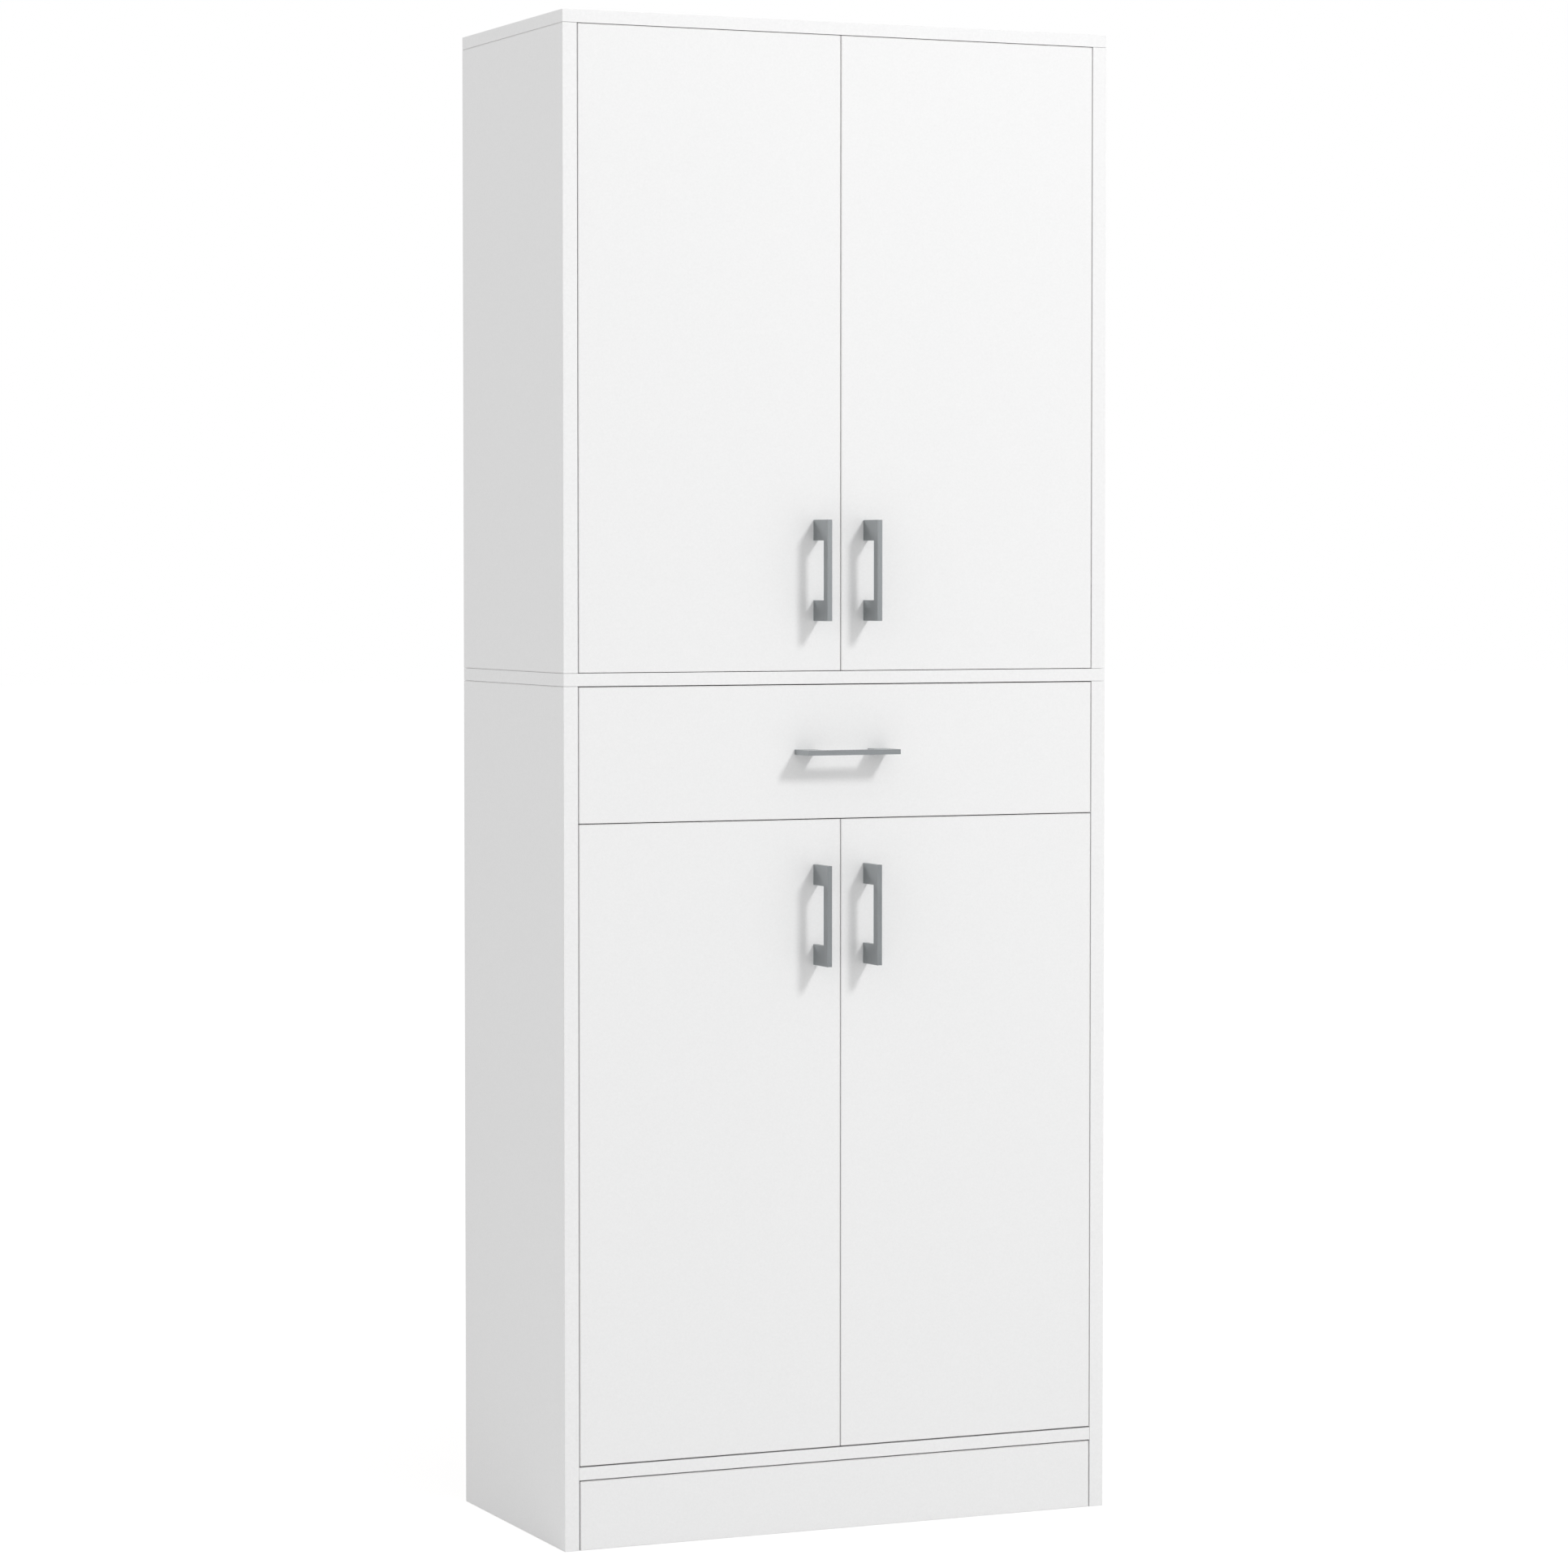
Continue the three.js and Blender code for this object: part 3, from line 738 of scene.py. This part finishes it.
def build_link(tier, hand, end):
    """The curved link, a band round the hinge's axis."""
    node = f"hinge_link_{tier}_{hand}_{end}"

    def along(radius, i):
        angle = math.radians(LINK_START + (LINK_END - LINK_START) * i / LINK_STEPS)
        return (LINK_AXIS + radius * math.cos(angle), radius * math.sin(angle))

    outline = [along(LINK_OUTER, i) for i in range(LINK_STEPS + 1)]
    outline += [along(LINK_INNER, i) for i in range(LINK_STEPS, -1, -1)]
    to_space = hinge_space(hand, middle(node).z)
    link = plate_piece(node + "_band", outline, LINK_WIDTH, to_space, HINGE_STEEL,
                       body_of_node(node), "hinge_steel", rounding=0.4 * MM)
    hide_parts(node)


# the arm in its hinge's own plan
ARM_OUTLINE = mm((24.5, 8), (33.6, 8), (34.3, 12), (34.3, 16), (30.5, 26), (20, 36), (15, 46), (15, 80),
                 (2.5, 80), (2.5, 42), (7, 32), (11, 22), (14.5, 17.4), (20.8, 13.4))
ARM_CHANNEL = mm((20, 0), (32.7, 0), (32.7, 15.7), (29.1, 25.3), (18.8, 35.1), (13.5, 45.7), (13.5, 81),
                 (-1, 81), (-1, 30), (4, 20))
ARM_RIVETS = mm((29, 14), (9.5, 48))
ARM_WIDTH = 16 * MM
CHANNEL_WIDTH = 13 * MM
ARM_TOP = 15 * MM  # from the side panel to the arm's outer face
# the saddle and the wings; a foot, middle or top is a distance from the side panel
SADDLE_FOOT = 0.05 * MM
SADDLE_TOP = 12.6 * MM
SADDLE_HALF_WIDTH = 6.3 * MM
WING_THICKNESS = 2.2 * MM
WING_TOP = 2.3 * MM
WING_MIDDLE = WING_TOP - WING_THICKNESS / 2
WING_REACH = 17.5 * MM
WING_RADIUS = 7.5 * MM
# distances from the front plane
SADDLE_FRONT = 36 * MM
SADDLE_REAR = 81.5 * MM
WING_PLACE = 52 * MM
FIXING_SCREW = 54 * MM
DEPTH_SCREW = 70 * MM


def stadium(centre, half_length, radius, steps=9):
    """A slot's outline along its second coordinate."""
    outline = []
    for end, first in ((half_length, 0), (-half_length, 180)):
        for i in range(steps):
            angle = math.radians(first + 180 * i / (steps - 1))
            outline.append((centre + radius * math.cos(angle), end + radius * math.sin(angle)))
    return outline


def build_arm(tier, hand, end):
    """The cranked arm on its mounting plate, with its rivets, adjusting screws and fixing screws."""
    node = f"hinge_arm_{tier}_{hand}_{end}"
    side, z = HANDS[hand], middle(node).z
    inward = side * X

    def place(u, v, w=0.0):
        """u in from the side panel, v back from the front plane, w up from the hinge's middle."""
        return Vector((side * inner_x + side * u, front_y + v, z + w))

    to_plan = hinge_space(hand, z)
    arm = plate_piece(node + "_crank", ARM_OUTLINE, ARM_WIDTH, to_plan, HINGE_STEEL,
                      "cabinet", "hinge_steel", rounding=0.7 * MM, segments=3)
    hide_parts(node)

    def channel(cutter):
        add_plate(cutter, ARM_CHANNEL, CHANNEL_WIDTH, to_plan)

    def depth_slot(cutter):
        outline = stadium(centre=0, half_length=9 * MM, radius=2.3 * MM)
        add_plate(cutter, outline, 6 * MM, space(Z, Y, -inward, place(ARM_TOP, DEPTH_SCREW)))

    cut(arm, channel, HINGE_STEEL)
    cut(arm, depth_slot, HINGE_STEEL)

    bm = bmesh.new()
    add_box(bm, place(SADDLE_FOOT, SADDLE_FRONT, -SADDLE_HALF_WIDTH),
            place(SADDLE_TOP, SADDLE_REAR, SADDLE_HALF_WIDTH), rounding=0.8 * MM)
    piece(node + "_saddle", bm, [HINGE_STEEL], "cabinet")

    outline = stadium(WING_PLACE, WING_REACH, WING_RADIUS)
    plate_piece(node + "_wings", outline, WING_THICKNESS, space(Y, Z, inward, place(WING_MIDDLE, 0)),
                HINGE_STEEL, "cabinet", "hinge_steel", rounding=0.45 * MM, segments=3)

    rivet = mm((0, 0), (1.9, 0), (1.9, 0.25), (1.3, 0.6), (0, 0.7))
    for sign, row in ((-1, "lower"), (1, "upper")):
        at = place(WING_TOP - 0.05 * MM, WING_PLACE, sign * WING_REACH)
        screw(f"{node}_wing_screw_{row}", at, inward, "cabinet", head=3.4 * MM, height=1.5 * MM)
        for number, (u, v) in enumerate(ARM_RIVETS):
            at = place(u, v, sign * (ARM_WIDTH / 2 - 0.1 * MM))
            turned_piece(f"{node}_rivet_{row}_{number}", rivet, at, sign * Z, 20, SCREW_STEEL,
                         "cabinet")
    at = place(ARM_TOP - 0.1 * MM, FIXING_SCREW)
    screw(f"{node}_side_screw", at, inward, "cabinet", head=3 * MM, height=1.1 * MM)
    at = place(ARM_TOP - 0.6 * MM, DEPTH_SCREW)
    screw(f"{node}_depth_screw", at, inward, "cabinet", head=3.4 * MM, height=1.6 * MM)


def handle(node, along):
    """A bow handle: one flat bar cut to two legs and a grip, with softened edges, and two screws."""
    corner, opposite = low(node), high(node)
    centre = middle(node)
    length_axis = X if along == "x" else Z
    half = (opposite - corner).dot(length_axis) / 2
    reach = front_y - corner.y
    width = min(opposite.x - corner.x, opposite.z - corner.z)
    leg_end, grip_back = half - HANDLE_LEG, reach - HANDLE_GRIP
    outline = [(-half, 0), (-half, reach), (half, reach), (half, 0), (leg_end, 0),
               (leg_end, grip_back), (-leg_end, grip_back), (-leg_end, 0)]
    to_space = space(length_axis, -Y, length_axis.cross(-Y), Vector((centre.x, front_y, centre.z)))
    body = body_of_node(node)
    made = plate_piece(node + "_bow", outline, width, to_space, NICKEL[along],
                       body, "satin_nickel", rounding=MM, segments=4)
    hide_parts(node)
    for sign, place in ((-1, "first"), (1, "second")):
        at = Vector((centre.x, door_back_y, centre.z)) + length_axis * sign * (half - HANDLE_LEG / 2)
        screw(f"{node}_screw_{place}", at, Y, body, head=4 * MM, height=1.9 * MM)


def build_fronts():
    for tier in TIERS:
        for hand in HANDS:
            build_door(tier, hand)
            handle(f"{tier}_handle_{hand}", "z")
    for hand, side in HANDS.items():
        node = f"lower_door_{hand}"
        z = (high(node).z + low("drawer_divider").z) / 2
        bumper(f"{node}_bumper", Vector((-side * DOOR_BUMPER, door_back_y, z)), node)


def bumper(name, at, body):
    """A soft pad that meets the board behind a front."""
    profile = mm((0, -0.1), (3, -0.1), (3, 0.6), (2.4, 1.2), (1.2, 1.6), (0, 1.7))
    turned_piece(name, profile, at, Y, 24, BUMPER_PLASTIC, body)


# ---- Drawer and runners --------------------------------------------------------------------------

SHEET = 1.2 * MM  # the runners' steel
DRAWER_BUMPER = 200 * MM  # from the cabinet's middle
REAR_SCREWS = {"lower": 0.3, "upper": 0.75}  # places as shares of the drawer side's height
CHANNEL_SCREWS = (0.16, 0.55, 0.93)  # places as shares of the length, from the front
ANGLE_SCREWS = (0.12, 0.5, 0.86)


def build_drawer():
    board("drawer_front", "drawer", "-x +x -z +z")
    for hand in HANDS:
        board(f"drawer_side_{hand}", "drawer", "+z")
    board("drawer_back", "drawer", "+z")
    thin_panel("drawer_bottom", "drawer", "+z")
    handle("drawer_handle", "x")
    for hand, side in HANDS.items():
        node = f"drawer_side_{hand}"
        at = Vector((inner_face(node, side), low(node).y + CAM_FROM_JOINT, middle(node).z))
        cam_cap(f"cam_cap_{node}", at, side * X, "drawer")
        for place, share in REAR_SCREWS.items():
            z = low(node).z + share * (high(node).z - low(node).z)
            at = Vector((outer_face(node, side), middle("drawer_back").y, z))
            screw(f"{node}_rear_screw_{place}", at, -side * X, "drawer", head=3.6 * MM, height=1.4 * MM)
        z = (low("drawer_front").z + high("drawer_divider").z) / 2
        bumper(f"drawer_front_bumper_{hand}", Vector((-side * DRAWER_BUMPER, door_back_y, z)), "drawer")


def section(name, outline, ys, corner, side, body):
    """Folded sheet along Y: the outline is u away from the side panel and v up, from a corner point."""
    to_space = space(side * X, Z, Y, Vector((corner.x, (ys[0] + ys[1]) / 2, corner.z)))
    return plate_piece(name, outline, ys[1] - ys[0], to_space, POWDER_COAT, body, "runner_paint",
                       rounding=0.3 * MM)


def axle(name, at, out, length, body):
    """A runner's riveted axle with its domed head."""
    shaft, head = 2 * MM, 3.3 * MM
    profile = [(0, 0), (shaft, 0), (shaft, length - 0.8 * MM), (head, length - 0.8 * MM),
               (head, length - 0.45 * MM), (2.4 * MM, length - 0.1 * MM), (0, length)]
    turned_piece(name, profile, at, out, 28, SCREW_STEEL, body)


def build_cabinet_runner(hand, side):
    """The channel on the side panel, open towards the drawer, with the front roller's axle."""
    node = f"cabinet_runner_{hand}"
    corner, opposite = low(node), high(node)
    outer_x = outer_face(node, side)
    web_x = outer_x + side * SHEET
    height = opposite.z - corner.z
    wide, narrow = 8.2 * MM, 7 * MM
    outline = [(0, 0), (wide, 0), (wide, SHEET), (SHEET, SHEET), (SHEET, height - SHEET),
               (narrow, height - SHEET), (narrow, height), (0, height)]
    start = Vector((outer_x, 0, corner.z))
    made = section(node + "_channel", outline, (corner.y, opposite.y), start, side, "cabinet")
    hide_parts(node)
    roller = middle(f"cabinet_roller_{hand}")
    axle(node + "_axle", Vector((web_x, roller.y, roller.z)), side * X, length=7.2 * MM, body="cabinet")
    for number, share in enumerate(CHANNEL_SCREWS):
        at = Vector((web_x, corner.y + share * (opposite.y - corner.y), corner.z + height / 2))
        screw(f"{node}_screw_{number}", at, side * X, "cabinet", head=3 * MM, height=0.9 * MM)


def build_drawer_runner(hand, side):
    """The angle under the drawer side, with the rear roller's axle."""
    node = f"drawer_runner_{hand}"
    corner, opposite = low(node), high(node)
    drawer_x = outer_face(f"drawer_side_{hand}", side) - side * SEAM
    web_x = drawer_x - side * SHEET
    height = opposite.z - corner.z
    under, over = 12 * MM, 9.8 * MM
    outline = [(-SHEET, 0), (under, 0), (under, SHEET), (0, SHEET), (0, height),
               (-over, height), (-over, height - SHEET), (-SHEET, height - SHEET)]
    start = Vector((drawer_x, 0, corner.z))
    made = section(node + "_angle", outline, (corner.y, opposite.y), start, side, "drawer")
    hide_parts(node)
    roller = middle(f"drawer_roller_{hand}")
    axle(node + "_axle", Vector((web_x, roller.y, roller.z)), -side * X, length=9 * MM, body="drawer")
    for number, share in enumerate(ANGLE_SCREWS):
        at = Vector((web_x, corner.y + share * (opposite.y - corner.y), corner.z + 0.45 * height))
        screw(f"{node}_screw_{number}", at, -side * X, "drawer", head=2.8 * MM, height=0.9 * MM)


def build_runners():
    for hand, side in HANDS.items():
        build_cabinet_runner(hand, side)
        build_drawer_runner(hand, side)
        for member in ("cabinet", "drawer"):
            build_roller(f"{member}_roller_{hand}")


def build_roller(node):
    """A nylon wheel with a bored hub, dished faces and rounded tread edges."""
    width = high(node).x - low(node).x
    radius = (high(node).z - low(node).z) / 2
    bore, dish = 2.3 * MM, 0.7 * MM
    hub, rim, tread = bore + 1.2 * MM, radius - 1.3 * MM, radius - 0.5 * MM
    hub_foot, rim_foot = bore + 1.5 * MM, radius - 1.6 * MM
    at = Vector((low(node).x, middle(node).y, middle(node).z))
    bm = bmesh.new()
    profile = [(bore, 0), (hub, 0), (hub_foot, dish), (rim_foot, dish), (rim, 0), (tread, 0),
               (radius, 0.5 * MM), (radius, width - 0.5 * MM), (tread, width), (rim, width),
               (rim_foot, width - dish), (hub_foot, width - dish), (hub, width), (bore, width)]
    add_ring(bm, profile, at, X, 48)
    made = piece(node + "_wheel", bm, [NYLON], body_of_node(node))
    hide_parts(node)


# ---- Studio --------------------------------------------------------------------------------------

FLOOR_SIZE = 40  # metres each way from the middle
FLOOR_GLOW = 0.84  # with the shade below, what the camera sees of the floor
FLOOR_SHADE = 0.24
FLOOR_BOUNCE = 0.75  # what the floor gives back to the cabinet
CAMERA_PLACE = (-2.3862, -5.4289, 1.1561)
CAMERA_TURN = -23.653  # degrees round Z
CAMERA_DIP = 2.302  # degrees below the horizontal


def add_studio():
    scene = bpy.context.scene
    scene.view_settings.view_transform = "Standard"

    bm = bmesh.new()
    bmesh.ops.create_grid(bm, x_segments=1, y_segments=1, size=FLOOR_SIZE)
    mesh = bpy.data.meshes.new("floor")
    bm.to_mesh(mesh)
    bm.free()
    floor = bpy.data.objects.new("floor", mesh)
    scene.collection.objects.link(floor)
    mesh.materials.append(floor_material())

    add_lights()
    add_world()
    add_camera()


def floor_material():
    """Pale and evenly lit, like a paper sweep lit from below, with a soft shadow under the object."""
    material = bpy.data.materials.new("pale_floor")
    material.use_nodes = True
    tree = material.node_tree
    tree.nodes.clear()
    output = tree.nodes.new("ShaderNodeOutputMaterial")
    ray = tree.nodes.new("ShaderNodeLightPath")
    seen = tree.nodes.new("ShaderNodeAddShader")
    glow = tree.nodes.new("ShaderNodeEmission")
    glow.inputs["Strength"].default_value = FLOOR_GLOW
    shade = tree.nodes.new("ShaderNodeBsdfDiffuse")
    shade.inputs["Color"].default_value = (FLOOR_SHADE, FLOOR_SHADE, FLOOR_SHADE, 1)
    bounce = tree.nodes.new("ShaderNodeBsdfDiffuse")
    bounce.inputs["Color"].default_value = (FLOOR_BOUNCE, FLOOR_BOUNCE, FLOOR_BOUNCE, 1)
    choose = tree.nodes.new("ShaderNodeMixShader")
    tree.links.new(glow.outputs[0], seen.inputs[0])
    tree.links.new(shade.outputs[0], seen.inputs[1])
    tree.links.new(ray.outputs["Is Camera Ray"], choose.inputs["Fac"])
    tree.links.new(bounce.outputs[0], choose.inputs[1])
    tree.links.new(seen.outputs[0], choose.inputs[2])
    tree.links.new(choose.outputs[0], output.inputs["Surface"])
    return material


def add_light(name, size, energy, direction, distance, target):
    """A round soft light, seen only by what it lights."""
    light = bpy.data.lights.new(name, "AREA")
    light.shape = "DISK"
    light.size = size
    light.energy = energy
    lamp = bpy.data.objects.new(name, light)
    out = Vector(direction).normalized()
    lamp.location = target + out * distance
    lamp.rotation_euler = out.to_track_quat("Z", "Y").to_euler()
    lamp.visible_camera = False
    bpy.context.scene.collection.objects.link(lamp)


def add_lights():
    """The key stands high at the front right; a weak fill lights the upper left side."""
    add_light("key", size=1.15, energy=145, direction=(0.475, -1, 0.76), distance=6.5,
              target=Vector((0, front_y, 0.55 * cad_high.z)))
    add_light("fill", size=1.2, energy=2.6, direction=(-1, 0.1, 0.7), distance=2.4,
              target=Vector((cad_low.x, 0, 0.85 * cad_high.z)))


def add_world():
    """Even light, stronger from the rear left; what shines reflects a brighter front, like a softbox."""
    world = bpy.data.worlds.new("studio")
    bpy.context.scene.world = world
    world.use_nodes = True
    tree = world.node_tree
    tree.nodes.clear()
    output = tree.nodes.new("ShaderNodeOutputWorld")
    ray = tree.nodes.new("ShaderNodeLightPath")
    direction = tree.nodes.new("ShaderNodeTexCoord")

    def sky(towards, away_strength, towards_strength, start):
        """A background that brightens from start, a cosine, to the middle of one direction."""
        along = tree.nodes.new("ShaderNodeVectorMath")
        along.operation = "DOT_PRODUCT"
        along.inputs[1].default_value = Vector(towards).normalized()
        tree.links.new(direction.outputs["Generated"], along.inputs[0])
        strength = tree.nodes.new("ShaderNodeMapRange")
        strength.inputs["From Min"].default_value = start
        strength.inputs["To Min"].default_value = away_strength
        strength.inputs["To Max"].default_value = towards_strength
        tree.links.new(along.outputs["Value"], strength.inputs["Value"])
        background = tree.nodes.new("ShaderNodeBackground")
        background.inputs["Color"].default_value = (1, 1, 1, 1)
        tree.links.new(strength.outputs["Result"], background.inputs["Strength"])
        return background

    def choose(condition, otherwise, chosen):
        mix = tree.nodes.new("ShaderNodeMixShader")
        tree.links.new(ray.outputs[condition], mix.inputs["Fac"])
        tree.links.new(otherwise.outputs[0], mix.inputs[1])
        tree.links.new(chosen.outputs[0], mix.inputs[2])
        return mix

    soft = sky((-0.8, 0.55, 0.25), away_strength=0.587, towards_strength=0.858, start=-1)
    shiny = sky((0.4, -0.9, 0), away_strength=0.6, towards_strength=1.25, start=0.4)
    seen = sky((0, 0, 1), away_strength=1, towards_strength=1, start=-1)
    lit = choose("Is Glossy Ray", soft, shiny)
    tree.links.new(choose("Is Camera Ray", lit, seen).outputs[0], output.inputs["Surface"])


def add_camera():
    data = bpy.data.cameras.new("camera")
    data.sensor_width = 36
    data.lens = 111.5
    data.shift_y = -0.015
    data.clip_end = 100
    camera = bpy.data.objects.new("camera", data)
    camera.location = CAMERA_PLACE
    camera.rotation_euler = (math.radians(90 - CAMERA_DIP), 0, math.radians(CAMERA_TURN))
    bpy.context.scene.collection.objects.link(camera)
    bpy.context.scene.camera = camera


build_carcass()
build_fronts()
build_drawer()
build_runners()
add_studio()
